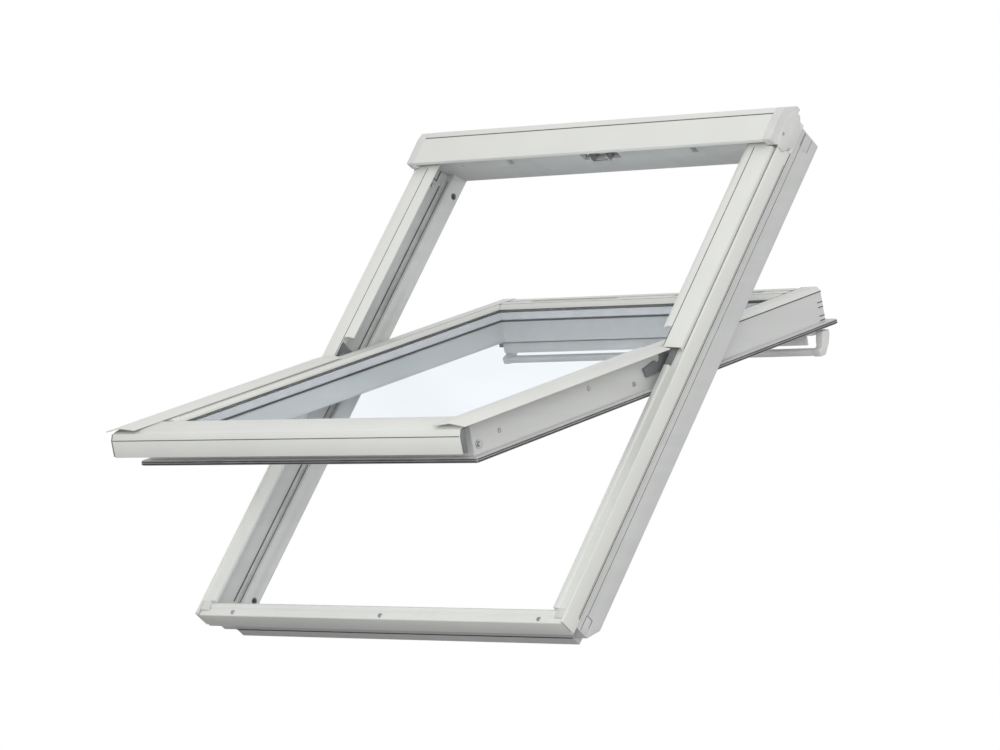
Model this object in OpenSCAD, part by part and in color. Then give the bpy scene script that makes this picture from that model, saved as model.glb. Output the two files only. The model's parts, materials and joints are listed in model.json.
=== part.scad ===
// Centre-pivot roof window: outer frame, claddings, glazed sash and its control bar.
// Sizes are in millimetres. The frame leans back at the roof pitch, with +Z up and the
// weather side towards -Y. Inside the modules a shape is drawn in the frame's own plane:
// X across, Y up the slope, Z outwards. The sash is drawn round its pivot axis.

/* [Roof] */
// Pitch of the roof, from level
roof_pitch = 55; // [15:1:75]
// How far the sash is open from its closed place
open_angle = 40; // [0:1:80]

/* [Frame] */
// Outer width of the frame, over the side claddings
frame_w = 780; // [550:1:1340]
// Outer height of the frame, from the bottom cladding to the back of the hood
frame_h = 978; // [778:1:1800]
// Depth of the timber from the cladding's face to the room side
frame_depth = 84; // [80:1:110]
// Height of the pivot axis above the bottom cladding, less half of the frame height
pivot_rise = 16; // [10:1:20]
// Depth of the pivot axis below the cladding's face
pivot_sink = 9; // [8.5:0.5:9.5]
// Thickness of the sheet metal
sheet = 2; // [1.5:0.1:2.2]
// Width of the clear way between the cladding's side and the clear opening
jamb_w = 32.5; // [30:0.5:40]
// Width of the recess that takes the pivot gear, in from the clear opening
recess_w = 13.5; // [13:0.5:16]

/* [Sash] */
// Gap between the edge of the sash's flange and the clear opening
flange_gap = 2.5; // [2.2:0.1:4]
// Width that the flange stands out from the stile
flange_w = 11; // [9:0.5:14]
// Width of a stile, from its outer side to the clear glass
stile_w = 44; // [38:1:60]
// Height of the top rail, from its upper side to the clear glass
top_rail_h = 56; // [50:1:80]
// Height of the bottom rail, from its lower side to the clear glass
bottom_rail_h = 40; // [34:1:60]
// Thickness of one glass pane
pane_t = 4; // [3:0.5:5]
// Distance between the panes
pane_gap = 12; // [10:1:13]

/* [Control bar] */
// Gap from the bar's ends to the flange's edge and to the airing bolt
bar_end_gap = 3; // [2:0.5:60]
// How far the grip stands off the flap
bar_drop = 30; // [24:1:40]

/* [Fixings] */
// Radius of the pivot pin
pin_r = 5; // [4:0.5:5.5]
// Running clearance round the pivot pin
pin_clear = 0.05; // [0.02:0.01:0.1]
// Radius of the bolt that holds the sash for airing
bolt_r = 4; // [3:0.5:5]
// How far the airing bolt slides
bolt_travel = 9; // [6:0.5:10]
// Radius of a screw head
screw_r = 4; // [3:0.5:5]

/* [Hidden] */
$fn = 48;
half_w = frame_w / 2;
pivot_y = frame_h / 2 + pivot_rise;
pivot_z = -pivot_sink;
open_x = half_w - jamb_w;
recess_x = open_x + recess_w;
timber_x = half_w - 5;
timber_bottom = 14;
timber_top = frame_h - 16;
timber_face = -5;
ledge_z = -53;
lip_x = open_x + 1;
slot_gap = 0.4;

// Sash sizes, from the pivot axis
flange_x = open_x - flange_gap;
stile_x = flange_x - flange_w;
glass_x = stile_x - stile_w;
sash_top = frame_h - 77 - pivot_y;
sash_bottom = 39 - pivot_y;
flange_top = sash_top + 13;
flange_bottom = sash_bottom - 8;
flange_z = -45;
room_z = -54;
seal_t = 1.5;
seal_low = 1;
rebate = 10;
glass_top = sash_top - top_rail_h;
glass_bottom = sash_bottom + bottom_rail_h;
glass_lo = -18;
glass_hi = glass_lo + 2 * pane_t + pane_gap;
face_z = glass_hi + seal_t;
bead_top = face_z + 7.5;
lap_z = pivot_sink + 1.2;
cover_front = -pivot_y - 11;
cover_x = half_w - 22;
side_cover_x = half_w - 10;
side_cover_start = 34;
seal_out = 1.8;
seal_lo = -53;
seal_h = 7;

// Hood sizes, up the slope and outwards
hood_front = frame_h - 86;
hood_step = frame_h - 36;
hood_back = frame_h - 21;
hood_x = half_w - 16;
hood_z = 24;
hood_lip = 17;
upper_cover_start = pivot_y - 5;
hood_drip = -1;
upper_cover_end = hood_front + 30;
bar_cap_t = 14;
cladding_start = timber_bottom + 11;

// Control bar and latch sizes, from the pivot axis
bar_axis = [sash_top - 10, -61];
grip_y = sash_top - 30;
grip_z = bar_axis[1] - bar_drop;
latch_axis = [sash_top - 20, -10];
latch_r = 2.5;
keeper_half = 40;
keeper_reach = pivot_y + sash_top + 8.5;
bolt_y = sash_top - 6;
bolt_z = room_z - 10;
bolt_tip = flange_x - 0.5;
bolt_block = 8.5;
bolt_knob = 3.5;
bolt_start = bolt_tip - 1 - bolt_block - bolt_travel - 0.5 - bolt_knob;
bar_right = flange_x - bar_end_gap;
bar_left = bolt_start - bar_end_gap;
housing_half = 31;
housing_gap = 0.4;

// Colours
alu = [0.80, 0.81, 0.79];
white = [0.90, 0.90, 0.89];
grey = [0.62, 0.63, 0.63];
black = [0.12, 0.12, 0.12];
steel = [0.66, 0.66, 0.67];
clear = [0.75, 0.86, 0.92, 0.4];

// Placing

// Leans the frame's plane back at the roof pitch, with the origin on the room face
module on_roof() {
    rotate([roof_pitch, 0, 0])
        translate([0, -origin_y, frame_depth])
            children();
}
origin_y = 37;

// Places what is drawn round the pivot axis, at the open angle
module on_sash() {
    on_roof()
        translate([0, pivot_y, pivot_z])
            rotate([-open_angle, 0, 0])
                children();
}

// Runs a cross-section drawn in X and Z along Y
module along_y(y0, y1) {
    translate([0, y1, 0])
        rotate([90, 0, 0])
            linear_extrude(y1 - y0)
                children();
}

// Runs a cross-section drawn in Y and Z along X
module along_x(x0, x1) {
    translate([x0, 0, 0])
        rotate([90, 0, 90])
            linear_extrude(x1 - x0)
                children();
}

// Puts the right-hand shape on the side named: -1 left, 1 right
module on_side(side) {
    if (side < 0)
        mirror([1, 0, 0]) children();
    else
        children();
}

module rod_x(x0, x1, y, z, r) {
    translate([x0, y, z])
        rotate([0, 90, 0])
            cylinder(h = x1 - x0, r = r);
}

module block(x, y, z) {
    translate([x[0], y[0], z[0]])
        cube([x[1] - x[0], y[1] - y[0], z[1] - z[0]]);
}

// A screw head with a cross recess, rising along Z from its seat
module screw_head(r, h) {
    difference() {
        cylinder(h = h, r1 = r, r2 = r * 0.8);
        for (turn = [0, 90])
            rotate([0, 0, turn])
                translate([-r * 0.6, -r * 0.11, h * 0.5])
                    cube([r * 1.2, r * 0.22, h]);
    }
}

// Timber frame

tenon_y = [timber_bottom + 3, timber_bottom + 28];
tenon_z = [-62, -46];
top_tenon_y = [timber_top - 30, timber_top - 4];

module tenon(y) {
    block([open_x, timber_x], y, tenon_z);
}

module housing_space() {
    reach = housing_half + 1;
    block([lip_x - 1, recess_x], [pivot_y - reach, pivot_y + reach], [ledge_z, 1]);
}

module jamb() {
    difference() {
        along_y(timber_bottom, timber_top)
            polygon([
                [open_x, -frame_depth], [timber_x, -frame_depth], [timber_x, timber_face],
                [lip_x, timber_face], [lip_x, lip_z[0]], [recess_x, lip_z[1]], [recess_x, ledge_z],
                [open_x, ledge_z]
            ]);
        tenon(tenon_y);
        tenon(top_tenon_y);
        housing_space();
        for (y = bush_places)
            rod_x(open_x - 1, open_x + bush_len, y, bush_z, bolt_r + 2);
    }
}

lip_z = [-8, -14];
bush_len = 18;
bush_z = pivot_z + bolt_z;
bush_places = [73, pivot_y + bolt_y];

module jamb_left() {
    color(white) on_roof() on_side(-1) jamb();
}

module jamb_right() {
    color(white) on_roof() jamb();
}

rail_face = timber_top - 47;
module rail_section_top() {
    polygon([
        [rail_face, timber_face], [timber_top, timber_face], [timber_top, -frame_depth],
        [timber_top - 25, -frame_depth], [rail_face, -22]
    ]);
}

module rail_section_bottom() {
    polygon([
        [timber_bottom, -frame_depth], [timber_bottom + 46, -frame_depth],
        [timber_bottom + 46, -70], [timber_bottom + 36, -66], [timber_bottom + 10.5, -66],
        [timber_bottom + 10.5, timber_face], [timber_bottom, timber_face]
    ]);
}

// A rail that fills the jambs' recesses, their lips and the clear way between them
module rail(y0, y1) {
    intersection() {
        along_x(-recess_x, recess_x) children();
        along_y(y0, y1)
            polygon([
                [-open_x, -frame_depth], [open_x, -frame_depth], [open_x, ledge_z],
                [recess_x, ledge_z], [recess_x, lip_z[1]], [lip_x, lip_z[0]], [lip_x, 0],
                [-lip_x, 0], [-lip_x, lip_z[0]], [-recess_x, lip_z[1]], [-recess_x, ledge_z],
                [-open_x, ledge_z]
            ]);
    }
}

keeper_seat = rail_face + 10;
recess_z = [-26, -8];
module top_rail() {
    color(white) on_roof() difference() {
        union() {
            rail(rail_face - 1, timber_top) rail_section_top();
            for (side = [-1, 1])
                on_side(side) tenon(top_tenon_y);
        }
        // Recess for the keeper, and the slots and holes for a screen's fittings
        block([-keeper_half, keeper_half], [rail_face - 1, keeper_seat], recess_z);
        for (side = [-1, 1])
            on_side(side)
                union() {
                    block([open_x - 166, open_x - 154], [rail_face - 1, keeper_seat], [-24, -12]);
                    translate([open_x - 51, keeper_seat, -20])
                        rotate([90, 0, 0])
                            cylinder(h = keeper_seat - rail_face + 1, r = 2.5);
                }
    }
}

module bottom_rail() {
    color(white) on_roof() union() {
        rail(timber_bottom, timber_bottom + 50) rail_section_bottom();
        for (side = [-1, 1])
            on_side(side) tenon(tenon_y);
    }
}

// Claddings

module cladding_section() {
    polygon([
        [lip_x + 0.5, 0], [lip_x + 9, 0], [lip_x + 11, -3], [half_w - 6, -3], [half_w - 4, 0],
        [half_w - 1, 0], [half_w, -1], [half_w, -32], [timber_x, -32], [timber_x, -32 + sheet],
        [half_w - sheet, -32 + sheet], [half_w - sheet, timber_face],
        [lip_x + 0.5, timber_face]
    ]);
}

module side_cladding() {
    difference() {
        along_y(0, timber_top) cladding_section();
        block([0, recess_x], [pivot_y - housing_half - 1, pivot_y + housing_half + 1], [-10, 1]);
        block([0, half_w - 4 - slot_gap], [-1, cladding_start], [-40, 1]);
    }
}

module side_cladding_left() {
    color(alu) on_roof() on_side(-1) side_cladding();
}

module side_cladding_right() {
    color(alu) on_roof() side_cladding();
}

// Bottom cladding: front face, screw band and a low upstand
apron_z = -36;
upstand = 1.5;
corner_x = half_w - 24;
module bottom_cladding() {
    color(alu) on_roof() difference() {
        along_x(-half_w + 4.8, half_w - 4.8)
            polygon([
                [0, apron_z], [0, timber_face - 1], [1, timber_face], [timber_bottom - 1, timber_face],
                [timber_bottom + 1, timber_face + upstand], [timber_bottom + 8, timber_face + upstand],
                [timber_bottom + 8, timber_face], [timber_bottom, timber_face],
                [timber_bottom, timber_face - sheet], [sheet, timber_face - sheet],
                [sheet, apron_z + sheet], [8, apron_z + sheet], [8, apron_z]
            ]);
        for (side = [-1, 1])
            on_side(side)
                block([corner_x, half_w], [corner_y, 40], [-40, 10]);
    }
}

corner_y = 9;
module bottom_cladding_screws() {
    color(steel) on_roof()
        for (x = [-half_w + 78, 10, half_w - 54])
            translate([x, 7, timber_face])
                screw_head(screw_r, 1.4);
}

// Moulded block that closes the corner between the bottom and side claddings
module corner_block() {
    along_x(corner_x + slot_gap, half_w - 4.8)
        polygon([
            [corner_y + slot_gap, -8], [corner_y + slot_gap, -4], [13, -2], [timber_bottom + 10.5, -2],
            [timber_bottom + 10.5, timber_face], [timber_bottom, timber_face],
            [timber_bottom, -8]
        ]);
}

module corner_block_left() {
    color(white) on_roof() on_side(-1) corner_block();
}

module corner_block_right() {
    color(white) on_roof() corner_block();
}

// Fixed cover over the upper half of a jamb
module upper_cover() {
    outer = half_w - 6.3;
    ridge = half_w - 48;
    inner = half_w - 59;
    difference() {
        along_y(upper_cover_start, upper_cover_end)
            polygon([
                [outer, -3], [outer, 6.7], [ridge, 10.7], [inner, 7.2], [inner, 5],
                [inner + sheet, 5], [ridge, 10.7 - sheet], [outer - sheet, 6.7 - sheet],
                [outer - sheet, -3]
            ]);
        // Way for the moulded cap of the hood
        block([hood_x - slot_gap, half_w], [hood_front + 1 - slot_gap, frame_h], [-4, hood_z]);
        // Way for the stile and pivot arm, which swing up past the lower end
        block([inner - 1, stile_x + arm_t + 1], [upper_cover_start - 1, pivot_y + 34], [-4, hood_z]);
    }
}

module upper_cover_left() {
    color(alu) on_roof() on_side(-1) upper_cover();
}

module upper_cover_right() {
    color(alu) on_roof() upper_cover();
}

// Hood over the top of the frame
module hood_outline() {
    polygon([
        [hood_front, hood_lip], [hood_front, hood_z], [hood_step, hood_z + 1.5],
        [hood_step + 1.5, hood_z - 0.5], [hood_back, hood_z - 1.5],
        [hood_back + 9, 8], [frame_h, hood_drip], [frame_h, hood_drip - 9],
        [frame_h - sheet, hood_drip - 9], [frame_h - sheet, hood_drip - sheet / 2],
        [hood_back + 8, 8 - sheet], [hood_back - 1, hood_z - 1.5 - sheet],
        [hood_step + 1.5, hood_z - 0.5 - sheet], [hood_step, hood_z + 1.5 - sheet],
        [hood_front + sheet, hood_z - sheet], [hood_front + sheet, hood_lip]
    ]);
}

foot_y = hood_step - 4;
module hood() {
    color(alu) on_roof() union() {
        along_x(-hood_x, hood_x) hood_outline();
        // Two feet that stand on the top rail
        for (side = [-1, 1])
            on_side(side)
                block(
                    [open_x - 44, open_x - 4], [foot_y, foot_y + sheet],
                    [timber_face, hood_z + 1.5 - sheet]
                );
    }
}

// Moulded cap that closes an end of the hood and clips to the jamb
module hood_cap() {
    union() {
        along_x(hood_x, half_w)
            polygon([
                [hood_front + 1, 8], [hood_front, hood_lip], [hood_front, hood_z],
                [hood_step, hood_z + 1.5], [hood_back, hood_z - 1.5], [hood_back + 9, 8],
                [frame_h, hood_drip], [frame_h, hood_drip - 9], [timber_top + 0.2, hood_drip - 9],
                [timber_top + 0.2, 0.2], [hood_front + 8, 0.2]
            ]);
        along_x(half_w, half_w + 2)
            polygon([
                [hood_front + 2, 2], [hood_front + 16, 8], [hood_back - 16, 10],
                [frame_h - 10, hood_drip + 1], [frame_h - 10, -14], [hood_back - 8, -28],
                [hood_front + 24, -28], [hood_front + 2, -12]
            ]);
    }
}

module hood_cap_left() {
    color(white) on_roof() on_side(-1) hood_cap();
}

module hood_cap_right() {
    color(white) on_roof() hood_cap();
}

module hood_screws() {
    color(steel) on_roof()
        for (side = [-1, 1], place = [[hood_front + 14, -20], [hood_front + 26, 4]])
            on_side(side)
                translate([half_w + 2, place[0], place[1]])
                    rotate([0, 90, 0])
                        screw_head(screw_r * 0.7, 1);
}

// Rubber seal along the ledge
module frame_gasket() {
    color(black) on_roof()
        for (side = [-1, 1])
            on_side(side)
                along_y(timber_bottom + 38, rail_face - 1)
                    polygon([
                        [recess_x, ledge_z], [recess_x, ledge_z + 7], [recess_x - 2, ledge_z + 6],
                        [recess_x - 3, ledge_z + 2], [recess_x - 7, ledge_z + 2], [recess_x - 7, ledge_z]
                    ]);
}

// Keeper for the latch
module keeper_plate() {
    color(steel) on_roof() union() {
        block(
            [-keeper_half + 2, keeper_half - 2], [keeper_seat - sheet, keeper_seat],
            [recess_z[0] + 1, recess_z[1] - 1]
        );
        for (side = [-1, 1])
            on_side(side)
                block([16, 19], [keeper_reach, keeper_seat - sheet], [recess_z[0] + 1, recess_z[1] - 3]);
        block([-19, 19], [keeper_reach, keeper_reach + sheet], [recess_z[0] + 1, recess_z[0] + 4]);
    }
}

module keeper_screws() {
    color(steel) on_roof()
        for (side = [-1, 1])
            on_side(side)
                translate([32, keeper_seat - sheet, -17])
                    rotate([90, 0, 0])
                        screw_head(screw_r, 1.4);
}

// Bushes in the left jamb for the airing bolt
module bolt_bushes() {
    color(grey) on_roof() on_side(-1)
        for (y = bush_places)
            difference() {
                rod_x(open_x, open_x + bush_len, y, bush_z, bolt_r + 2);
                rod_x(open_x - 1, open_x + bush_len - 2, y, bush_z, bolt_r + 0.5);
            }
}

// Pivot gear

module pivot_housing() {
    difference() {
        block(
            [lip_x + housing_gap, recess_x], [pivot_y - housing_half, pivot_y + housing_half],
            [ledge_z + 8, -0.5]
        );
        rod_x(lip_x, recess_x + 1, pivot_y, pivot_z, pin_r + pin_clear);
        for (y = [-20, 20])
            rod_x(lip_x, recess_x + 1, pivot_y + y, -34, screw_r / 2);
    }
}

module pivot_housing_left() {
    color(grey) on_roof() on_side(-1) pivot_housing();
}

module pivot_housing_right() {
    color(grey) on_roof() pivot_housing();
}

module pivot_housing_screws() {
    color(steel) on_roof()
        for (side = [-1, 1], y = [-20, 20])
            on_side(side)
                union() {
                    rod_x(lip_x + housing_gap, recess_x, pivot_y + y, -34, screw_r / 2);
                    translate([lip_x + housing_gap, pivot_y + y, -34])
                        rotate([0, -90, 0])
                            screw_head(screw_r, 1.2);
                }
}

arm_t = 5;
module pivot_arm() {
    along_x(stile_x, stile_x + arm_t)
        difference() {
            union() {
                circle(r = 13);
                polygon([[0, 11], [0, -13], [-18, -22], [-62, -26], [-66, -12], [-30, -4], [-10, 8]]);
            }
            circle(r = pin_r);
            translate([-30, -2]) circle(r = 8);
        }
}

module pivot_arm_left() {
    color(grey) on_sash() on_side(-1) pivot_arm();
}

module pivot_arm_right() {
    color(grey) on_sash() pivot_arm();
}

module pivot_pin_left() {
    color(steel) on_sash() on_side(-1) rod_x(stile_x, recess_x - 1, 0, 0, pin_r);
}

module pivot_pin_right() {
    color(steel) on_sash() rod_x(stile_x, recess_x - 1, 0, 0, pin_r);
}

module friction_washer() {
    difference() {
        rod_x(stile_x + arm_t, lip_x - 0.2, 0, 0, 8);
        rod_x(stile_x, lip_x + 1, 0, 0, pin_r);
    }
}

module friction_washer_left() {
    color(grey) on_sash() on_side(-1) friction_washer();
}

module friction_washer_right() {
    color(grey) on_sash() friction_washer();
}

// Sash

module stile() {
    along_y(flange_bottom, flange_top)
        polygon([
            [glass_x, room_z], [flange_x, room_z], [flange_x, flange_z], [glass_x, flange_z]
        ]);
    along_y(sash_bottom, sash_top)
        polygon([
            [glass_x, flange_z - 1], [stile_x, flange_z - 1], [stile_x, face_z],
            [glass_x + rebate, face_z], [glass_x + rebate, glass_lo - seal_low],
            [glass_x, glass_lo - seal_low]
        ]);
}

module stile_left() {
    color(white) on_sash() on_side(-1) union() stile();
}

module stile_right() {
    color(white) on_sash() union() stile();
}

module sash_top_rail() {
    color(white) on_sash() difference() {
        union() {
            along_x(-glass_x, glass_x)
                polygon([
                    [glass_top, room_z], [flange_top, room_z], [flange_top, flange_z],
                    [sash_top, flange_z], [sash_top, face_z], [glass_top + rebate, face_z],
                    [glass_top + rebate, glass_lo - seal_low], [glass_top, glass_lo - seal_low]
                ]);
            for (side = [-1, 1])
                on_side(side)
                    block(
                        [glass_x, glass_x + rebate], [glass_top + rebate, sash_top],
                        [glass_lo - seal_low, face_z]
                    );
        }
        // Way for the air, and the pocket for the latch
        air_ways();
        block([-case_half, case_half], [sash_top - 36, sash_top + 1], case_z);
    }
}

// Two slots through the top rail and the metal over it, for the air behind the flap
module air_ways() {
    for (side = [-1, 1])
        on_side(side)
            block([60, glass_x - 50], [sash_top - 34, sash_top - 24], [room_z - 1, bead_top + 1]);
}

module sash_bottom_rail() {
    color(white) on_sash() union() {
        along_x(-glass_x, glass_x)
            polygon([
                [glass_bottom, room_z], [flange_bottom, room_z], [flange_bottom, flange_z],
                [sash_bottom, flange_z], [sash_bottom, face_z], [glass_bottom - rebate, face_z],
                [glass_bottom - rebate, glass_lo - seal_low], [glass_bottom, glass_lo - seal_low]
            ]);
        for (side = [-1, 1])
            on_side(side)
                block(
                    [glass_x, glass_x + rebate], [sash_bottom, glass_bottom - rebate],
                    [glass_lo - seal_low, face_z]
                );
    }
}

pane_x = glass_x + rebate - 1;
pane_y = [glass_bottom - rebate + 1, glass_top + rebate - 1];

module outer_pane() {
    color(clear) on_sash()
        block([-pane_x, pane_x], pane_y, [glass_hi - pane_t, glass_hi]);
}

module inner_pane() {
    color(clear) on_sash()
        block([-pane_x, pane_x], pane_y, [glass_lo, glass_lo + pane_t]);
}

// A rectangular ring in the plane of the glass, between two heights
module ring(x, y, wide, z0, z1) {
    difference() {
        block([-x, x], y, [z0, z1]);
        block([-x + wide, x - wide], [y[0] + wide, y[1] - wide], [z0 - 1, z1 + 1]);
    }
}

module pane_spacer() {
    color(grey) on_sash()
        ring(
            pane_x - 2, [pane_y[0] + 2, pane_y[1] - 2], 8,
            glass_lo + pane_t, glass_hi - pane_t
        );
}

module glazing_gasket() {
    color(black) on_sash() union() {
        ring(glass_x + 6, [glass_bottom - 6, glass_top + 6], 7, glass_lo - seal_low, glass_lo);
        ring(glass_x + 6, [glass_bottom - 6, glass_top + 6], 7, glass_hi, face_z);
    }
}

// Metal profile that holds the glass from outside
module bead_section(reach) {
    polygon([
        [0, face_z], [2, bead_top - 4], [8, bead_top], [reach - 6, bead_top], [reach, face_z]
    ]);
}

module glazing_bead_side() {
    along_y(glass_bottom - 10, sash_top)
        translate([glass_x + 1, 0])
            bead_section(stile_w - 1);
}

module glazing_bead_left() {
    color(alu) on_sash() on_side(-1) glazing_bead_side();
}

module glazing_bead_right() {
    color(alu) on_sash() glazing_bead_side();
}

module glazing_bead_top() {
    color(alu) on_sash() difference() {
        along_x(-glass_x - 1, glass_x + 1)
            translate([glass_top + 1, 0])
                bead_section(top_rail_h - 1);
        air_ways();
    }
}

// Ribbed seal round the edge of the flange
module seal_section() {
    polygon([
        [0, 0], [seal_out, 0.8], [0.6, 1.8], [seal_out, 3], [0.6, 4], [seal_out, 5.2],
        [0.6, 6.2], [0, seal_h]
    ]);
}

module sash_gasket() {
    color(black) on_sash() union() {
        for (side = [-1, 1])
            on_side(side)
                along_y(flange_bottom, flange_top)
                    translate([flange_x, seal_lo]) seal_section();
        along_x(-flange_x, flange_x)
            translate([flange_top, seal_lo]) seal_section();
        along_x(-flange_x, flange_x)
            translate([flange_bottom, seal_lo]) mirror([1, 0]) seal_section();
    }
}

// Lower cover with its front skirt, and the leg that stands on the sash
cover_leg = sash_bottom + 12;
cover_top = lap_z + 1.8;
module bottom_cover_section() {
    polygon([
        [cover_front, -30], [cover_front, -3], [cover_front + 4, cover_top - 5],
        [cover_front + 18, cover_top - 1], [cover_leg + sheet, cover_top],
        [cover_leg + sheet, cover_top - sheet], [cover_front + 18, cover_top - 1 - sheet],
        [cover_front + 4 + sheet, cover_top - 4 - sheet], [cover_front + sheet, -3],
        [cover_front + sheet, -30 + sheet], [cover_front + 8, -30 + sheet],
        [cover_front + 8, -30]
    ]);
}

module sash_bottom_cover() {
    color(alu) on_sash() union() {
        along_x(-cover_x, cover_x) bottom_cover_section();
        block([-stile_x, stile_x], [cover_leg, cover_leg + sheet], [face_z, cover_top - sheet]);
    }
}

// Moulded plug in an end of the lower cover, which stops short of the side cladding
plug_end = cladding_start - 1 - pivot_y;
module cover_plug() {
    along_x(cover_x, cover_x + 4)
        polygon([
            [cover_front + 1, -29], [cover_front + 1, -3], [cover_front + 5, cover_top - 6],
            [cover_front + 18, cover_top - 2.5], [plug_end, cover_top - 2],
            [plug_end, cover_top - 4], [cover_front + 18, cover_top - 4.4],
            [cover_front + 9, cover_top - 7.4], [cover_front + 8, -29]
        ]);
}

module cover_plug_left() {
    color(grey) on_sash() on_side(-1) cover_plug();
}

module cover_plug_right() {
    color(grey) on_sash() cover_plug();
}

// Cover over the lower half of a stile, which laps over the jamb
cover_lip = max(bead_top + 1.2, cover_top + 0.2);
module side_cover() {
    inner = stile_x - 28;
    ridge = stile_x + 6;
    along_y(cover_front + 2, -side_cover_start)
        polygon([
            [inner, cover_lip], [inner, cover_lip + sheet], [ridge, lap_z + 5.3 + sheet],
            [side_cover_x, lap_z + sheet], [side_cover_x, lap_z], [ridge, lap_z + 5.3],
            [inner + sheet, cover_lip]
        ]);
    block([stile_x - 12, stile_x - 12 + sheet], [cover_leg + 4, -side_cover_start], [bead_top, lap_z + 4.6]);
}

module side_cover_left() {
    color(alu) on_sash() on_side(-1) union() side_cover();
}

module side_cover_right() {
    color(alu) on_sash() union() side_cover();
}

side_screw_places = [[-404, -22], [-193, -11], [-90, -30]];
module sash_side_screws() {
    color(steel) on_sash()
        for (side = [-1, 1], place = side_screw_places)
            on_side(side)
                translate([stile_x, place[0], place[1]])
                    rotate([0, 90, 0])
                        screw_head(screw_r, 1.6);
}

module sash_corner_washers() {
    color(steel) on_sash()
        for (side = [-1, 1])
            on_side(side)
                union() {
                    rod_x(stile_x, stile_x + 1.5, sash_bottom + 13, -30, 7);
                    rod_x(stile_x + 1.5, stile_x + 4, sash_bottom + 13, -30, screw_r);
                }
}

// Latch, airing bolt and control bar

case_half = 30;
case_z = [-24, face_z - 1.5];
module latch_case() {
    color(steel) on_sash() difference() {
        block([-case_half, case_half], [sash_top - 36, sash_top - 1], case_z);
        block([-14, 14], [sash_top - 34, sash_top + 1], [case_z[0] + 2, case_z[1] - 2]);
        rod_x(-case_half - 1, case_half + 1, latch_axis[0], latch_axis[1], latch_r + pin_clear);
    }
}

module latch() {
    y = latch_axis[0];
    z = latch_axis[1];
    color(steel) on_sash() union() {
        rod_x(1 - case_half, case_half - 1, y, z, latch_r);
        along_x(-12, 12)
            polygon([
                [y - 5, z - 4], [y - 5, z + 5], [y + 24, z + 5], [y + 27, z + 1], [y + 18, z - 1],
                [y + 6, z - 4]
            ]);
    }
}

// Guide of the airing bolt, on the room side of the left stile
module bolt_plate() {
    end = bolt_tip - 1;
    color(grey) on_sash() on_side(-1) difference() {
        union() {
            block([bolt_start - 0.5, end], [bolt_y - 11, bolt_y + 11], [room_z - 2, room_z]);
            block([end - bolt_block, end], [bolt_y - 8, bolt_y + 8], [bolt_z - 8, room_z - 2]);
        }
        rod_x(end - bolt_block - 1, end + 1, bolt_y, bolt_z, bolt_r + pin_clear);
    }
}

module barrel_bolt() {
    color(steel) on_sash() on_side(-1) union() {
        rod_x(bolt_start, bolt_tip, bolt_y, bolt_z, bolt_r);
        rod_x(bolt_start, bolt_start + bolt_knob, bolt_y, bolt_z, bolt_r + 2);
    }
}

// Brackets that carry the bar's hinge
bracket_x = 150;
bracket_t = 6;
bracket_r = 6;
rod_r = 2;
module bar_brackets() {
    color(grey) on_sash()
        for (side = [-1, 1])
            on_side(side)
                along_x(bracket_x, bracket_x + bracket_t)
                    difference() {
                        union() {
                            translate(bar_axis) circle(r = bracket_r);
                            translate([bar_axis[0] - bracket_r, bar_axis[1]])
                                square([2 * bracket_r, room_z - bar_axis[1]]);
                        }
                        translate(bar_axis) circle(r = rod_r + pin_clear);
                    }
}

module control_bar() {
    color(white) on_sash() along_x(bar_cap_t - bar_left, bar_right - bar_cap_t)
        polygon([
            [grip_y - 8, grip_z + 4], [grip_y - 6, grip_z - 4], [grip_y + 6, grip_z - 4],
            [grip_y + 9, grip_z + 5], [grip_y + 5, grip_z + 7], [grip_y - 4, grip_z + 7]
        ]);
}

module bar_cap_section() {
    polygon([
        [grip_y - 9, grip_z + 6], [grip_y - 7, grip_z - 5], [grip_y + 7, grip_z - 5],
        [grip_y + 20, grip_z + 12], [bar_axis[0] + 5, bar_axis[1] - 4],
        [bar_axis[0] + 5, bar_axis[1] + 3], [bar_axis[0] - 12, bar_axis[1] + 3],
        [bar_axis[0] - 16, bar_axis[1] - 8], [grip_y + 2, grip_z + 10]
    ]);
}

module bar_cap_left() {
    color(white) on_sash() along_x(-bar_left, bar_cap_t - bar_left) bar_cap_section();
}

module bar_cap_right() {
    color(white) on_sash() along_x(bar_right - bar_cap_t, bar_right) bar_cap_section();
}

// Flap behind the bar, with the hinge rods in its notches
module vent_flap() {
    y = bar_axis[0];
    z = bar_axis[1];
    notch = bracket_r + 4;
    color(white) on_sash() union() {
        difference() {
            along_x(bar_cap_t - bar_left, bar_right - bar_cap_t)
                polygon([
                    [y + 3, z + 3], [y + 3, z - 3], [grip_y, z - 2], [grip_y - 14, z + 2],
                    [grip_y - 14, z + 4], [grip_y, z + 3]
                ]);
            for (side = [-1, 1])
                on_side(side)
                    block(
                        [bracket_x - 0.5, bracket_x + bracket_t + 0.5],
                        [y - notch, y + notch], [z - 9, room_z]
                    );
        }
        for (side = [-1, 1])
            on_side(side)
                rod_x(bracket_x - 2, bracket_x + bracket_t + 2, y, z, rod_r);
    }
}

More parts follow.
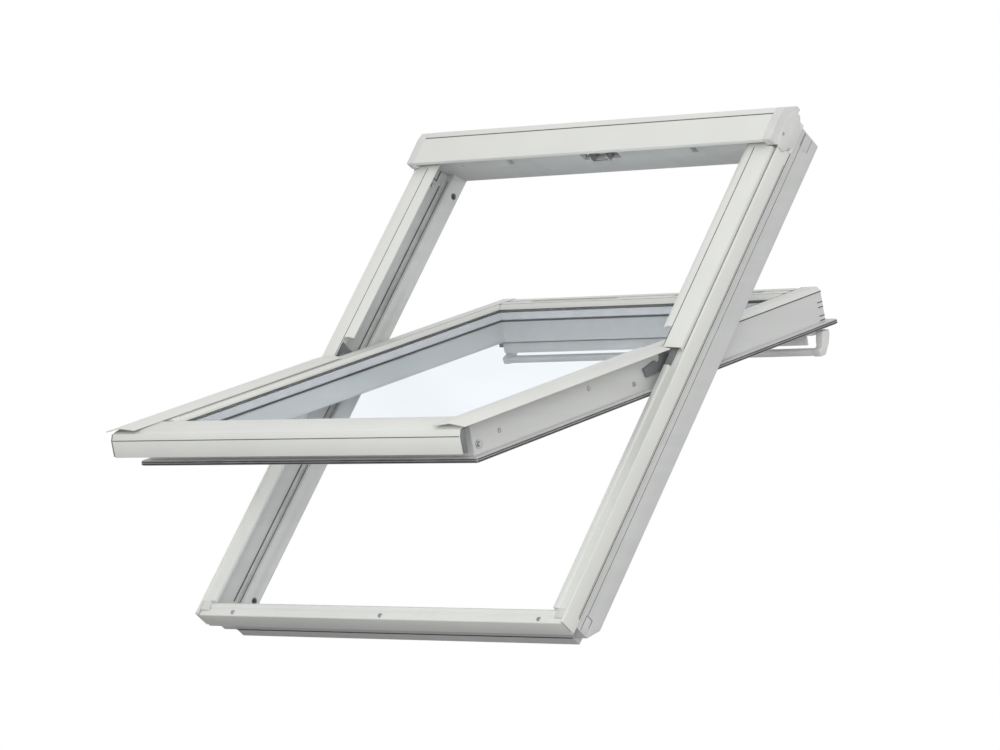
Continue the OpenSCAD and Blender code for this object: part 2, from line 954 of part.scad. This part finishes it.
jamb_left();
jamb_right();
top_rail();
bottom_rail();
side_cladding_left();
side_cladding_right();
bottom_cladding();
bottom_cladding_screws();
upper_cover_left();
upper_cover_right();
hood();
hood_cap_left();
hood_cap_right();
hood_screws();
corner_block_left();
corner_block_right();
frame_gasket();
keeper_plate();
keeper_screws();
pivot_housing_left();
pivot_housing_right();
pivot_housing_screws();
bolt_bushes();
stile_left();
stile_right();
sash_top_rail();
sash_bottom_rail();
outer_pane();
inner_pane();
pane_spacer();
glazing_gasket();
glazing_bead_left();
glazing_bead_right();
glazing_bead_top();
sash_gasket();
sash_bottom_cover();
cover_plug_left();
cover_plug_right();
side_cover_left();
side_cover_right();
sash_side_screws();
sash_corner_washers();
pivot_arm_left();
pivot_arm_right();
pivot_pin_left();
pivot_pin_right();
friction_washer_left();
friction_washer_right();
latch_case();
latch();
bolt_plate();
barrel_bolt();
bar_brackets();
control_bar();
bar_cap_left();
bar_cap_right();
vent_flap();
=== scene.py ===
"""Centre-pivot roof window, held open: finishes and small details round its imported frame."""

import json
import math
from collections import namedtuple

import bpy
from mathutils import Matrix, Vector

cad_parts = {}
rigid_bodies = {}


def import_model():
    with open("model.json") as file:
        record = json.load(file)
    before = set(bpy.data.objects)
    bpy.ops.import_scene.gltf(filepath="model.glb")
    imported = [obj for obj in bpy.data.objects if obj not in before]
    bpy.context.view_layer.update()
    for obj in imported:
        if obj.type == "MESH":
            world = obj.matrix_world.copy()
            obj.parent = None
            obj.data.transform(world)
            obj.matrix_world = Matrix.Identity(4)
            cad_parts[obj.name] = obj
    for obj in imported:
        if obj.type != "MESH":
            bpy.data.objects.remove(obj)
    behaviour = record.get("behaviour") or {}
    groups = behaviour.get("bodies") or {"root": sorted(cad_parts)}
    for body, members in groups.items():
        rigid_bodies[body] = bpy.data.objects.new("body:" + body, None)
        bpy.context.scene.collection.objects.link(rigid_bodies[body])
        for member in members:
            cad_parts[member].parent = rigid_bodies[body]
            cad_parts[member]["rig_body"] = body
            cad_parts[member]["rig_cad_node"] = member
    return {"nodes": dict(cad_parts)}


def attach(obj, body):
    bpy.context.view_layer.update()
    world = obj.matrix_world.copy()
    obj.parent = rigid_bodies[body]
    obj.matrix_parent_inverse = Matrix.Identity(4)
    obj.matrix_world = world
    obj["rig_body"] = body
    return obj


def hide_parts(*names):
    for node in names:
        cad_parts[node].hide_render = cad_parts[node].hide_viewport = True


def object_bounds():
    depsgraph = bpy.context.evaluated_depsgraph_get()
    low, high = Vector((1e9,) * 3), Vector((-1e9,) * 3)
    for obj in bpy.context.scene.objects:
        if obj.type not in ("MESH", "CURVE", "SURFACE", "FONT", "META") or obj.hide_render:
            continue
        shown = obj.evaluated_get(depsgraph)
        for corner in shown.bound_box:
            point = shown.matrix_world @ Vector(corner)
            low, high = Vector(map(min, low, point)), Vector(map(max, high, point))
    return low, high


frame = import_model()
cad_low, cad_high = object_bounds()

MM = 0.001
ROOF_PITCH = math.radians(55)
OPEN_ANGLE = math.radians(40)
ORIGIN_UP = 37.0
FRAME_DEPTH = 84.0
PIVOT = (0.0, 505.0, -9.0)

# The frame's own plane: X across, Y up the slope, Z outwards, in millimetres
ROOF = (
    Matrix.Rotation(ROOF_PITCH, 4, "X")
    @ Matrix.Scale(MM, 4)
    @ Matrix.Translation((0, -ORIGIN_UP, FRAME_DEPTH))
)
# The sash's own plane, from its pivot axis
SASH = ROOF @ Matrix.Translation(PIVOT) @ Matrix.Rotation(-OPEN_ANGLE, 4, "X")


# Node materials

# The part of a noise's range that its values mostly lie in
NOISE_LOW = 0.3
NOISE_HIGH = 0.7
# How far each finish darkens in its clouds or bands, as a share of its colour
SHEET_SHADE = 0.965
TIMBER_SHADE = 0.95
MOULDED_SHADE = 0.93
ZINC_SHADE = 0.8
GLASS_SHADE = 0.985
# How much lighter rubber is under its bloom, with the dust on it, and the palest it gets
BLOOM_GAIN = 1.25
BLOOM_DUST = 0.01
BLOOM_LIMIT = 0.7


def shaded(colour, share):
    """A colour turned down to a share of itself."""
    return tuple(channel * share for channel in colour)


def new_material(name):
    """A material with its nodes, links and shader, and the object's own coordinates."""
    material = bpy.data.materials.new(name)
    material.use_nodes = True
    nodes = material.node_tree.nodes
    shader = nodes["Principled BSDF"]
    place = nodes.new("ShaderNodeTexCoord")
    return material, nodes, material.node_tree.links, shader, place.outputs["Object"]


def turned(nodes, links, coordinates, tilt, stretch):
    """Coordinates laid along a member that leans by tilt, and stretched along it."""
    mapping = nodes.new("ShaderNodeMapping")
    mapping.inputs["Rotation"].default_value = (-tilt, 0, 0)
    mapping.inputs["Scale"].default_value = stretch
    links.new(coordinates, mapping.inputs["Vector"])
    return mapping.outputs["Vector"]


def noise(nodes, links, vector, scale, detail, rough=0.55):
    """The value of a noise with that many repeats to the metre."""
    node = nodes.new("ShaderNodeTexNoise")
    node.inputs["Scale"].default_value = scale
    node.inputs["Detail"].default_value = detail
    node.inputs["Roughness"].default_value = rough
    links.new(vector, node.inputs["Vector"])
    return node.outputs["Fac"]


def tones(nodes, links, factor, dark, light, low=0.35, high=0.65):
    """A ramp from one colour to another over the middle of a noise."""
    ramp = nodes.new("ShaderNodeValToRGB")
    ramp.color_ramp.elements[0].position = low
    ramp.color_ramp.elements[0].color = (*dark, 1)
    ramp.color_ramp.elements[1].position = high
    ramp.color_ramp.elements[1].color = (*light, 1)
    links.new(factor, ramp.inputs["Fac"])
    return ramp.outputs["Color"]


def between(nodes, links, factor, low, high):
    """A number that follows a noise between two values."""
    node = nodes.new("ShaderNodeMapRange")
    node.inputs["From Min"].default_value = NOISE_LOW
    node.inputs["From Max"].default_value = NOISE_HIGH
    node.inputs["To Min"].default_value = low
    node.inputs["To Max"].default_value = high
    links.new(factor, node.inputs["Value"])
    return node.outputs["Result"]


def bumped(nodes, links, shader, height, depth, under=None):
    """Adds a relief of that depth in metres, over an earlier one if given."""
    bump = nodes.new("ShaderNodeBump")
    bump.inputs["Strength"].default_value = 1.0
    bump.inputs["Distance"].default_value = depth
    links.new(height, bump.inputs["Height"])
    if under:
        links.new(under, bump.inputs["Normal"])
    links.new(bump.outputs["Normal"], shader.inputs["Normal"])
    return bump.outputs["Normal"]


def lacquered_sheet(name, colour, tilt):
    """Coil-coated sheet: fine orange peel, faint rolling along the length, soft cloudy tone."""
    material, nodes, links, shader, place = new_material(name)
    rolled = turned(nodes, links, place, tilt, stretch=(60, 3, 60))
    cloud = noise(nodes, links, place, scale=7.0, detail=4.0)
    roll = noise(nodes, links, rolled, scale=4.0, detail=5.0)
    peel = noise(nodes, links, place, scale=900.0, detail=2.0)
    darker = shaded(colour, SHEET_SHADE)
    links.new(tones(nodes, links, cloud, darker, colour), shader.inputs["Base Color"])
    sheen = between(nodes, links, roll, low=0.36, high=0.46)
    links.new(sheen, shader.inputs["Roughness"])
    shader.inputs["Metallic"].default_value = 0.0
    shader.inputs["Coat Weight"].default_value = 0.12
    shader.inputs["Coat Roughness"].default_value = 0.3
    rolling = bumped(nodes, links, shader, roll, depth=0.00002)
    bumped(nodes, links, shader, peel, depth=0.000015, under=rolling)
    return material


def coated_timber(name, colour, tilt):
    """Painted pine: long grain that just shows through, and a satin sheen."""
    material, nodes, links, shader, place = new_material(name)
    along = turned(nodes, links, place, tilt, stretch=(1, 0.05, 1))
    grain = noise(nodes, links, along, scale=260.0, detail=4.0, rough=0.6)
    bands = noise(nodes, links, along, scale=45.0, detail=2.0)
    stipple = noise(nodes, links, place, scale=700.0, detail=2.0)
    darker = shaded(colour, TIMBER_SHADE)
    links.new(tones(nodes, links, bands, darker, colour), shader.inputs["Base Color"])
    sheen = between(nodes, links, grain, low=0.34, high=0.5)
    links.new(sheen, shader.inputs["Roughness"])
    shader.inputs["Coat Weight"].default_value = 0.1
    shader.inputs["Coat Roughness"].default_value = 0.35
    fibres = bumped(nodes, links, shader, grain, depth=0.00005)
    bumped(nodes, links, shader, stipple, depth=0.00002, under=fibres)
    return material


def moulded(name, colour, roughness, grain):
    """Moulded plastic with a fine spark-eroded grain."""
    material, nodes, links, shader, place = new_material(name)
    fine = noise(nodes, links, place, scale=grain, detail=2.0)
    cloud = noise(nodes, links, place, scale=30.0, detail=3.0)
    darker = shaded(colour, MOULDED_SHADE)
    links.new(tones(nodes, links, cloud, darker, colour), shader.inputs["Base Color"])
    sheen = between(nodes, links, fine, low=roughness - 0.06, high=roughness + 0.08)
    links.new(sheen, shader.inputs["Roughness"])
    bumped(nodes, links, shader, fine, depth=0.00004)
    return material


def plated_steel(name, colour):
    """Zinc plate: a soft crystal mottle and fine brushing."""
    material, nodes, links, shader, place = new_material(name)
    cells = nodes.new("ShaderNodeTexVoronoi")
    cells.inputs["Scale"].default_value = 420.0
    links.new(place, cells.inputs["Vector"])
    brushed = turned(nodes, links, place, tilt=0, stretch=(1, 30, 30))
    brush = noise(nodes, links, brushed, scale=60.0, detail=3.0)
    darker = shaded(colour, ZINC_SHADE)
    mottle = tones(nodes, links, cells.outputs["Distance"], darker, colour, low=0.1, high=0.7)
    links.new(mottle, shader.inputs["Base Color"])
    sheen = between(nodes, links, brush, low=0.28, high=0.42)
    links.new(sheen, shader.inputs["Roughness"])
    shader.inputs["Metallic"].default_value = 0.9
    bumped(nodes, links, shader, brush, depth=0.00002)
    return material


def extruded_rubber(name, colour):
    """Matt rubber with drawn lines and a dusty bloom."""
    material, nodes, links, shader, place = new_material(name)
    along = turned(nodes, links, place, tilt=0, stretch=(0.1, 1, 1))
    drawn = noise(nodes, links, along, scale=900.0, detail=2.0)
    bloom = noise(nodes, links, place, scale=25.0, detail=4.0)
    lighter = tuple(min(channel * BLOOM_GAIN + BLOOM_DUST, BLOOM_LIMIT) for channel in colour)
    links.new(tones(nodes, links, bloom, colour, lighter), shader.inputs["Base Color"])
    sheen = between(nodes, links, drawn, low=0.6, high=0.8)
    links.new(sheen, shader.inputs["Roughness"])
    bumped(nodes, links, shader, drawn, depth=0.00004)
    return material


def coated_glass(name, tint):
    """Clear anti-reflective pane with a faint cool tint and a hardly visible roller wave."""
    material, nodes, links, shader, place = new_material(name)
    wave = noise(nodes, links, place, scale=3.0, detail=1.0)
    deeper = shaded(tint, GLASS_SHADE)
    links.new(tones(nodes, links, wave, deeper, tint), shader.inputs["Base Color"])
    shader.inputs["Roughness"].default_value = 0.0
    shader.inputs["IOR"].default_value = 1.01
    shader.inputs["Transmission Weight"].default_value = 1.0
    bumped(nodes, links, shader, wave, depth=0.00001)
    return material


SHEET_WHITE = (0.80, 0.81, 0.775)
FRAME_PAINT = (0.63, 0.64, 0.63)
SASH_PAINT = (0.65, 0.66, 0.65)
LIGHT_MOULDING = (0.74, 0.75, 0.735)
GREY_MOULDING = (0.21, 0.215, 0.225)
ZINC = (0.55, 0.55, 0.56)
# Black weather rubber; the same black also serves as painted shade in creases, corners and
# grooves
BLACK_RUBBER_AND_SHADE = (0.035, 0.036, 0.04)
PALE_RUBBER = (0.44, 0.443, 0.436)
# Dark joint sealant; the same grey also serves as painted shade along steps, folds, creases and
# the gasket's foot
DARK_SEALANT_AND_SHADE = (0.12, 0.12, 0.118)
CLEAR_TINT = (0.958, 0.982, 1.0)
SPACER_GREY = (0.60, 0.61, 0.63)
SASH_PITCH = ROOF_PITCH - OPEN_ANGLE

FINISH = {
    "cladding_frame": lacquered_sheet("lacquer_frame", SHEET_WHITE, ROOF_PITCH),
    "cladding_sash": lacquered_sheet("lacquer_sash", SHEET_WHITE, SASH_PITCH),
    "timber_frame": coated_timber("coated_timber_frame", FRAME_PAINT, ROOF_PITCH),
    "timber_sash": coated_timber("coated_timber_sash", SASH_PAINT, SASH_PITCH),
    "moulded_white": moulded("moulded_light_grey", LIGHT_MOULDING, roughness=0.45, grain=1100.0),
    "grey_moulding": moulded("moulded_grey", GREY_MOULDING, roughness=0.5, grain=1100.0),
    "steel": plated_steel("zinc_plate", ZINC),
    "seal": extruded_rubber("weather_rubber_and_painted_shade", BLACK_RUBBER_AND_SHADE),
    "seal_pale": extruded_rubber("pale_flap_rubber", PALE_RUBBER),
    "joint_and_shade_line": extruded_rubber("joint_sealant_and_painted_shade", DARK_SEALANT_AND_SHADE),
    "glass": coated_glass("float_glass", CLEAR_TINT),
    "spacer": moulded("spacer_bar", SPACER_GREY, roughness=0.4, grain=600.0),
}


# Below the first angle two faces are shaded as one, and above the second an edge is rolled
SMOOTH_ANGLE = math.radians(35)
SHARP_ANGLE = math.radians(25)


def paint(piece, finish):
    """Gives a whole piece one finish."""
    piece.data.materials.clear()
    piece.data.materials.append(FINISH[finish])
    for face in piece.data.polygons:
        face.material_index = 0


# Pieces


def only(piece):
    """Selects one object and nothing else."""
    bpy.ops.object.select_all(action="DESELECT")
    piece.select_set(True)
    bpy.context.view_layer.objects.active = piece


def settled(piece, name, body, finish):
    """Names a finished piece, puts its place into its mesh, and gives it its body and finish."""
    only(piece)
    bpy.ops.object.transform_apply(location=True, rotation=True, scale=True)
    bpy.ops.object.shade_smooth_by_angle(angle=SMOOTH_ANGLE)
    piece.name = name
    piece.data.name = name
    paint(piece, finish)
    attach(piece, body)


def applied(piece):
    """Applies every modifier of a piece."""
    only(piece)
    for modifier in list(piece.modifiers):
        bpy.ops.object.modifier_apply(modifier=modifier.name)


def edged(piece, width, segments=2):
    """Rolls the sharp edges of a piece over by width millimetres."""
    bevel = piece.modifiers.new("roll", "BEVEL")
    bevel.width = width * MM
    bevel.segments = segments
    bevel.limit_method = "ANGLE"
    bevel.angle_limit = SHARP_ANGLE
    applied(piece)


# The spans of a box across the window, up the slope and outwards, in millimetres
Box = namedtuple("Box", "across along out")
# How far the edges of a drawn line or a screw head are rolled, in millimetres
LINE_ROLL = 0.15


def strips(name, space, body, finish, boxes, both_sides=True, roll=LINE_ROLL):
    """Narrow drawn strips in one piece, one to each box, or one on each side of the window."""
    made = []
    for across, along, out in boxes:
        for side in (-1, 1) if both_sides else (1,):
            spans = [sorted(side * x for x in across), along, out]
            bpy.ops.object.select_all(action="DESELECT")
            bpy.ops.mesh.primitive_cube_add(
                size=1, location=[(low + high) / 2 for low, high in spans]
            )
            strip = bpy.context.active_object
            strip.scale = [high - low for low, high in spans]
            made.append(strip)
    bpy.ops.object.select_all(action="DESELECT")
    for strip in made:
        strip.select_set(True)
    bpy.context.view_layer.objects.active = made[0]
    bpy.ops.object.transform_apply(location=True, rotation=True, scale=True)
    if len(made) > 1:
        bpy.ops.object.join()
    piece = made[0]
    piece.matrix_world = space.copy()
    only(piece)
    bpy.ops.object.transform_apply(location=True, rotation=True, scale=True)
    edged(piece, roll)
    settled(piece, name, body, finish)


# Corners round a screw head, its rim as a share of its radius, and the depth of its
# driving recess as a share of its height
HEAD_SIDES = 24
HEAD_RIM = 0.45
DRIVE_DEPTH = 0.6
# A face of a new head is its cap where its normal's part along the head's axis is above this
CAP_FACING = 0.9


def pan_head(name, space, body, at, radius, height):
    """A pair of screw heads, one on each side, that stand on the faces inside the recesses."""
    made = []
    for side in (-1, 1):
        bpy.ops.object.select_all(action="DESELECT")
        bpy.ops.mesh.primitive_cylinder_add(
            vertices=HEAD_SIDES,
            radius=radius,
            depth=height,
            location=(side * at[0], at[1], at[2]),
            rotation=(0, side * math.pi / 2, 0),
        )
        bpy.ops.object.mode_set(mode="EDIT")
        bpy.ops.mesh.select_all(action="SELECT")
        bpy.ops.object.mode_set(mode="OBJECT")
        head = bpy.context.active_object
        for face in head.data.polygons:
            face.select = face.normal.z > CAP_FACING
        bpy.ops.object.mode_set(mode="EDIT")
        bpy.ops.mesh.select_mode(type="FACE")
        bpy.ops.mesh.inset(thickness=radius * HEAD_RIM)
        sink = (-side * height * DRIVE_DEPTH, 0, 0)
        bpy.ops.mesh.extrude_region_move(TRANSFORM_OT_translate={"value": sink})
        bpy.ops.object.mode_set(mode="OBJECT")
        made.append(head)
    for head in made:
        head.select_set(True)
    bpy.context.view_layer.objects.active = made[0]
    bpy.ops.object.transform_apply(location=True, rotation=True, scale=True)
    bpy.ops.object.join()
    piece = made[0]
    piece.matrix_world = space.copy()
    only(piece)
    bpy.ops.object.transform_apply(location=True, rotation=True, scale=True)
    edged(piece, LINE_ROLL)
    settled(piece, name, body, "steel")


# CAD corners nearer than this, in metres, are one, and faces that lean less are one
SAME_POINT = 0.00001
FLAT_ANGLE = math.radians(0.5)


def rounded(node, body, finish, width, segments, saw):
    """A copy of a CAD piece with its sharp edges rolled or sanded over by width millimetres.

    saw is None, or a point and a direction in the frame's own space, where a corner is cut
    off first.
    """
    source = frame["nodes"][node]
    only(source)
    bpy.ops.object.duplicate()
    piece = bpy.context.active_object
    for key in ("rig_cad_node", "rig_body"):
        del piece[key]
    piece.parent = None
    bpy.ops.object.mode_set(mode="EDIT")
    bpy.ops.mesh.select_all(action="SELECT")
    bpy.ops.mesh.remove_doubles(threshold=SAME_POINT)
    bpy.ops.mesh.dissolve_limited(angle_limit=FLAT_ANGLE)
    bpy.ops.mesh.normals_make_consistent(inside=False)
    if saw:
        bpy.ops.mesh.select_all(action="SELECT")
        bpy.ops.mesh.bisect(
            plane_co=ROOF @ Vector(saw[0]),
            plane_no=(ROOF.to_3x3() @ Vector(saw[1])).normalized(),
            use_fill=True,
            clear_outer=True,
        )
    bpy.ops.object.mode_set(mode="OBJECT")
    edged(piece, width, segments)
    settled(piece, node + "_finished", body, finish)
    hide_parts(node)


# Finish, body, how far the edges roll in millimetres, in how many steps, and the CAD nodes
ROUNDED = [
    ("cladding_frame", "frame", 0.5, 2, [
        "side_cladding_left", "side_cladding_right", "bottom_cladding",
        "upper_cover_left", "upper_cover_right", "hood",
    ]),
    ("cladding_sash", "sash", 0.5, 2, [
        "glazing_bead_left", "glazing_bead_right", "glazing_bead_top",
        "sash_bottom_cover", "side_cover_left", "side_cover_right",
    ]),
    ("timber_frame", "frame", 1.0, 2, ["jamb_left", "jamb_right", "top_rail", "bottom_rail"]),
    ("timber_sash", "sash", 1.2, 2, ["stile_left", "stile_right", "sash_bottom_rail"]),
    ("moulded_white", "frame", 0.8, 2, [
        "hood_cap_left", "hood_cap_right", "corner_block_left", "corner_block_right",
    ]),
    ("moulded_white", "bar", 1.5, 3, [
        "control_bar", "bar_cap_left", "bar_cap_right", "vent_flap",
    ]),
    ("grey_moulding", "sash", 0.6, 2, [
        "cover_plug_left", "cover_plug_right", "bolt_plate", "bar_brackets",
    ]),
    ("grey_moulding", "frame", 1.0, 2, ["pivot_housing_left", "pivot_housing_right"]),
]
# The lower back corner of each jamb is sawn off at a slant: a point on the cut and its normal
JAMB_SAW = ((0, 14, -66), (0, -20, -28))
for finish, body, width, segments, names in ROUNDED:
    for node in names:
        saw = JAMB_SAW if node.startswith("jamb") else None
        rounded(node, body, finish, width, segments, saw)

# CAD nodes whose shape is right as it is, under each finish
PLAIN = {
    "steel": [
        "bottom_cladding_screws", "hood_screws", "keeper_plate", "keeper_screws",
        "pivot_housing_screws", "sash_side_screws", "sash_corner_washers",
        "pivot_pin_left", "pivot_pin_right", "latch_case", "latch", "barrel_bolt",
    ],
    "grey_moulding": [
        "bolt_bushes", "friction_washer_left", "friction_washer_right",
        "pivot_arm_left", "pivot_arm_right",
    ],
    "timber_sash": ["sash_top_rail"],
    "joint_and_shade_line": ["glazing_gasket"],
    "seal_pale": ["frame_gasket", "sash_gasket"],
    "glass": ["outer_pane", "inner_pane"],
    "spacer": ["pane_spacer"],
}
for finish, names in PLAIN.items():
    for node in names:
        paint(frame["nodes"][node], finish)
for pane in PLAIN["glass"]:
    frame["nodes"][pane].visible_shadow = False


# Drawn lines, joints, strips of painted shade and small fixings on the frame, in its own
# millimetres. Most of them are sunk a little into the face they lie on and stand a hair proud of
# it.

ON_JAMB = (384.8, 385.3)
CLIP = (370.2, 371)

# Painted shade: a black strip along the foot of each side cladding, for the shadow under its
# return
strips("cladding_edge_painted_shade", ROOF, "frame", "seal", [
    Box(across=(389.6, 390.25), along=(24, 905), out=(-30.4, -28.9)),
])
# The first strip is painted shade in the crease of each side cladding; the second is a dark
# joint on the jamb's side
strips("cladding_crease", ROOF, "frame", "joint_and_shade_line", [
    Box(across=(389.8, 390.2), along=(26, 880), out=(-27.4, -26.6)),
    Box(across=ON_JAMB, along=(44, 958), out=(-48.4, -47.6)),
])
# A black rubber lip where the gasket meets the recess wall, which paints the shade of that
# corner
strips("recess_shade_lip", ROOF, "frame", "seal", [
    Box(across=(369.6, 370.9), along=(54, 897), out=(-46, -45)),
])
# Painted shade: a dark strip where the gasket's foot meets the ledge
strips("gasket_foot", ROOF, "frame", "joint_and_shade_line", [
    Box(across=(363.1, 364), along=(54, 912), out=(-53, -51.6)),
])
COVER_LENGTH = (502, 890)
# Painted shade: on each upper cover, a dark strip for the shadow line by its inner lip and one
# at its foot by the cladding
strips("upper_cover_lines", ROOF, "frame", "joint_and_shade_line", [
    Box(across=(350.2, 351.6), along=COVER_LENGTH, out=(9.6, 10.15)),
    Box(across=(384, 385.6), along=COVER_LENGTH, out=(-3, -1.0)),
])
# Painted shade: a dark strip at the hood's step
strips("hood_step_line", ROOF, "frame", "joint_and_shade_line", [
    Box(across=(-373.5, 373.5), along=(943.4, 945.4), out=(23.2, 24.2)),
], both_sides=False)
strips("bottom_rail_seal", ROOF, "frame", "seal", [
    Box(across=(-356, 356), along=(13.3, 14.1), out=(-66.6, -65)),
], both_sides=False)
strips("corner_joint_lines", ROOF, "frame", "joint_and_shade_line", [
    Box(across=ON_JAMB, along=(16, 42), out=(-46.6, -45.8)),
    Box(across=ON_JAMB, along=(28, 42), out=(-60.6, -59.8)),
    Box(across=ON_JAMB, along=(41.4, 42.2), out=(-60.6, -45.8)),
    Box(across=ON_JAMB, along=(934, 960), out=(-46.6, -45.8)),
    Box(across=ON_JAMB, along=(934, 960), out=(-66.6, -65.8)),
])
strips("recess_clips", ROOF, "frame", "seal", [
    Box(across=CLIP, along=(900, 928), out=(-35.5, -34)),
    Box(across=CLIP, along=(899, 900.5), out=(-35.5, -16)),
])
pan_head("recess_screws", ROOF, "frame", at=(370.4, 888, -32), radius=3.4, height=1.2)

# The same on the sash, from its pivot axis

FLANGE_LINES = ((-48.6, -47.3), (-52.4, -50.8))
FLANGE_ENDS = ((-476.0, -475.4), (410.4, 411.0))
BEAD_LINE = (10.7, 11.15)
CORNER_JOINTS = (-14, -22, -36, -43, -50)
CORNER_JOINT_WIDTH = 1.4

# Painted shade: black strips in the grooves of the pale sash seal, along its sides and across
# its ends
strips("sash_seal_grooves", SASH, "sash", "seal", [
    Box(across=(356.4, 357.0), along=(-474, 409), out=line) for line in FLANGE_LINES
])
strips("sash_seal_end_grooves", SASH, "sash", "seal", [
    Box(across=(-355, 355), along=end, out=line) for line in FLANGE_LINES for end in FLANGE_ENDS
], both_sides=False)
# Painted shade: a dark strip along the fold at the front of the sash's bottom cover
strips("cover_fold_line", SASH, "sash", "joint_and_shade_line", [
    Box(across=(-367, 367), along=(-516.2, -515.8), out=(-3.9, -2.5)),
], both_sides=False)
strips("bead_lines", SASH, "sash", "joint_and_shade_line", [
    Box(across=(309.4, 310.6), along=(-420, 394), out=BEAD_LINE),
])
strips("top_bead_lines", SASH, "sash", "joint_and_shade_line", [
    Box(across=(-308, 308), along=(351, 352.6), out=BEAD_LINE),
    Box(across=(-308, 308), along=(372, 373.6), out=BEAD_LINE),
], both_sides=False)
strips("bead_edge_seal", SASH, "sash", "seal", [
    Box(across=(343.6, 344.5), along=(-30, 395), out=(2.6, 4.0)),
])
strips("top_edge_seal", SASH, "sash", "seal", [
    Box(across=(-344, 344), along=(395.2, 396.2), out=(2.6, 4.2)),
], both_sides=False)
strips("flap_skirt", SASH, "bar", "moulded_white", [
    Box(across=(-314, 337), along=(348.8, 352.4), out=(-75, -57.5)),
], both_sides=False, roll=1.4)
strips("sash_corner_joints", SASH, "sash", "seal", [
    Box(across=(343.8, 344.45), along=(382, 395.4), out=(low, low + CORNER_JOINT_WIDTH))
    for low in CORNER_JOINTS
])


# Surroundings: floor, light and camera. Places are in metres, angles in degrees.

MIDDLE = (0, 0.2, 0.4)
KEY_LAMP_PLACE = (3.6, -4.2, 0.9)
KEY_LAMP_SIZE = 2.5
KEY_LAMP_POWER = 70
FLOOR_SIZE = 90
FLOOR_DROP = 0.35
FLOOR_GREY = 0.98
FLOOR_GLOW = 0.2
# Heights on the sky's dome, from 0 straight down to 1 straight up, and how bright it is there
DOME = ((0.28, 0.3), (0.47, 1.0), (0.57, 1.0), (0.72, 0.8))
CAMERA_PLACE = (4.88613, -5.20092, 0.19531)
CAMERA_TURN = (91.57995, 0.02045, 42.11318)
CAMERA_LENS = 165.42
CAMERA_SENSOR = 36.0
CAMERA_REACH = 200

bpy.ops.object.light_add(type="AREA", location=KEY_LAMP_PLACE)
lamp = bpy.context.active_object
lamp.name = "key_lamp"
lamp.data.shape = "DISK"
lamp.data.size = KEY_LAMP_SIZE
lamp.data.energy = KEY_LAMP_POWER
aim = Vector(MIDDLE) - Vector(KEY_LAMP_PLACE)
lamp.rotation_euler = aim.to_track_quat("-Z", "Y").to_euler()

# The floor lies clear below the window. The camera sees it, bare or through the glass, but
# it throws no light on the window and shows in no gloss.
bpy.ops.mesh.primitive_plane_add(size=FLOOR_SIZE, location=(0, 0, cad_low.z - FLOOR_DROP))
floor = bpy.context.active_object
floor.name = "floor"
floor_paint, _, _, shader, _ = new_material("floor_paint")
shader.inputs["Base Color"].default_value = (FLOOR_GREY, FLOOR_GREY, FLOOR_GREY, 1)
shader.inputs["Roughness"].default_value = 0.9
shader.inputs["Emission Color"].default_value = (1, 1, 1, 1)
shader.inputs["Emission Strength"].default_value = FLOOR_GLOW
floor.data.materials.append(floor_paint)
floor.visible_diffuse = False
floor.visible_glossy = False
floor.visible_transmission = True

world = bpy.data.worlds.new("studio")
bpy.context.scene.world = world
world.use_nodes = True
nodes, links = world.node_tree.nodes, world.node_tree.links
sky = nodes["Background"]
sky.inputs["Color"].default_value = (1, 1, 1, 1)
direction = nodes.new("ShaderNodeTexCoord")
split = nodes.new("ShaderNodeSeparateXYZ")
height = nodes.new("ShaderNodeMapRange")
height.inputs["From Min"].default_value = -1.0
height.inputs["From Max"].default_value = 1.0
dome = nodes.new("ShaderNodeValToRGB")
stops = dome.color_ramp.elements
for number, (place_up, grey) in enumerate(DOME):
    stop = stops[number] if number < len(stops) else stops.new(place_up)
    stop.position = place_up
    stop.color = (grey, grey, grey, 1)
links.new(direction.outputs["Generated"], split.inputs["Vector"])
links.new(split.outputs["Z"], height.inputs["Value"])
links.new(height.outputs["Result"], dome.inputs["Fac"])
links.new(dome.outputs["Color"], sky.inputs["Strength"])

bpy.ops.object.camera_add(
    location=CAMERA_PLACE, rotation=[math.radians(turn) for turn in CAMERA_TURN]
)
camera = bpy.context.active_object
camera.data.sensor_width = CAMERA_SENSOR
camera.data.lens = CAMERA_LENS
camera.data.clip_end = CAMERA_REACH
scene = bpy.context.scene
scene.camera = camera
scene.view_settings.view_transform = "Standard"
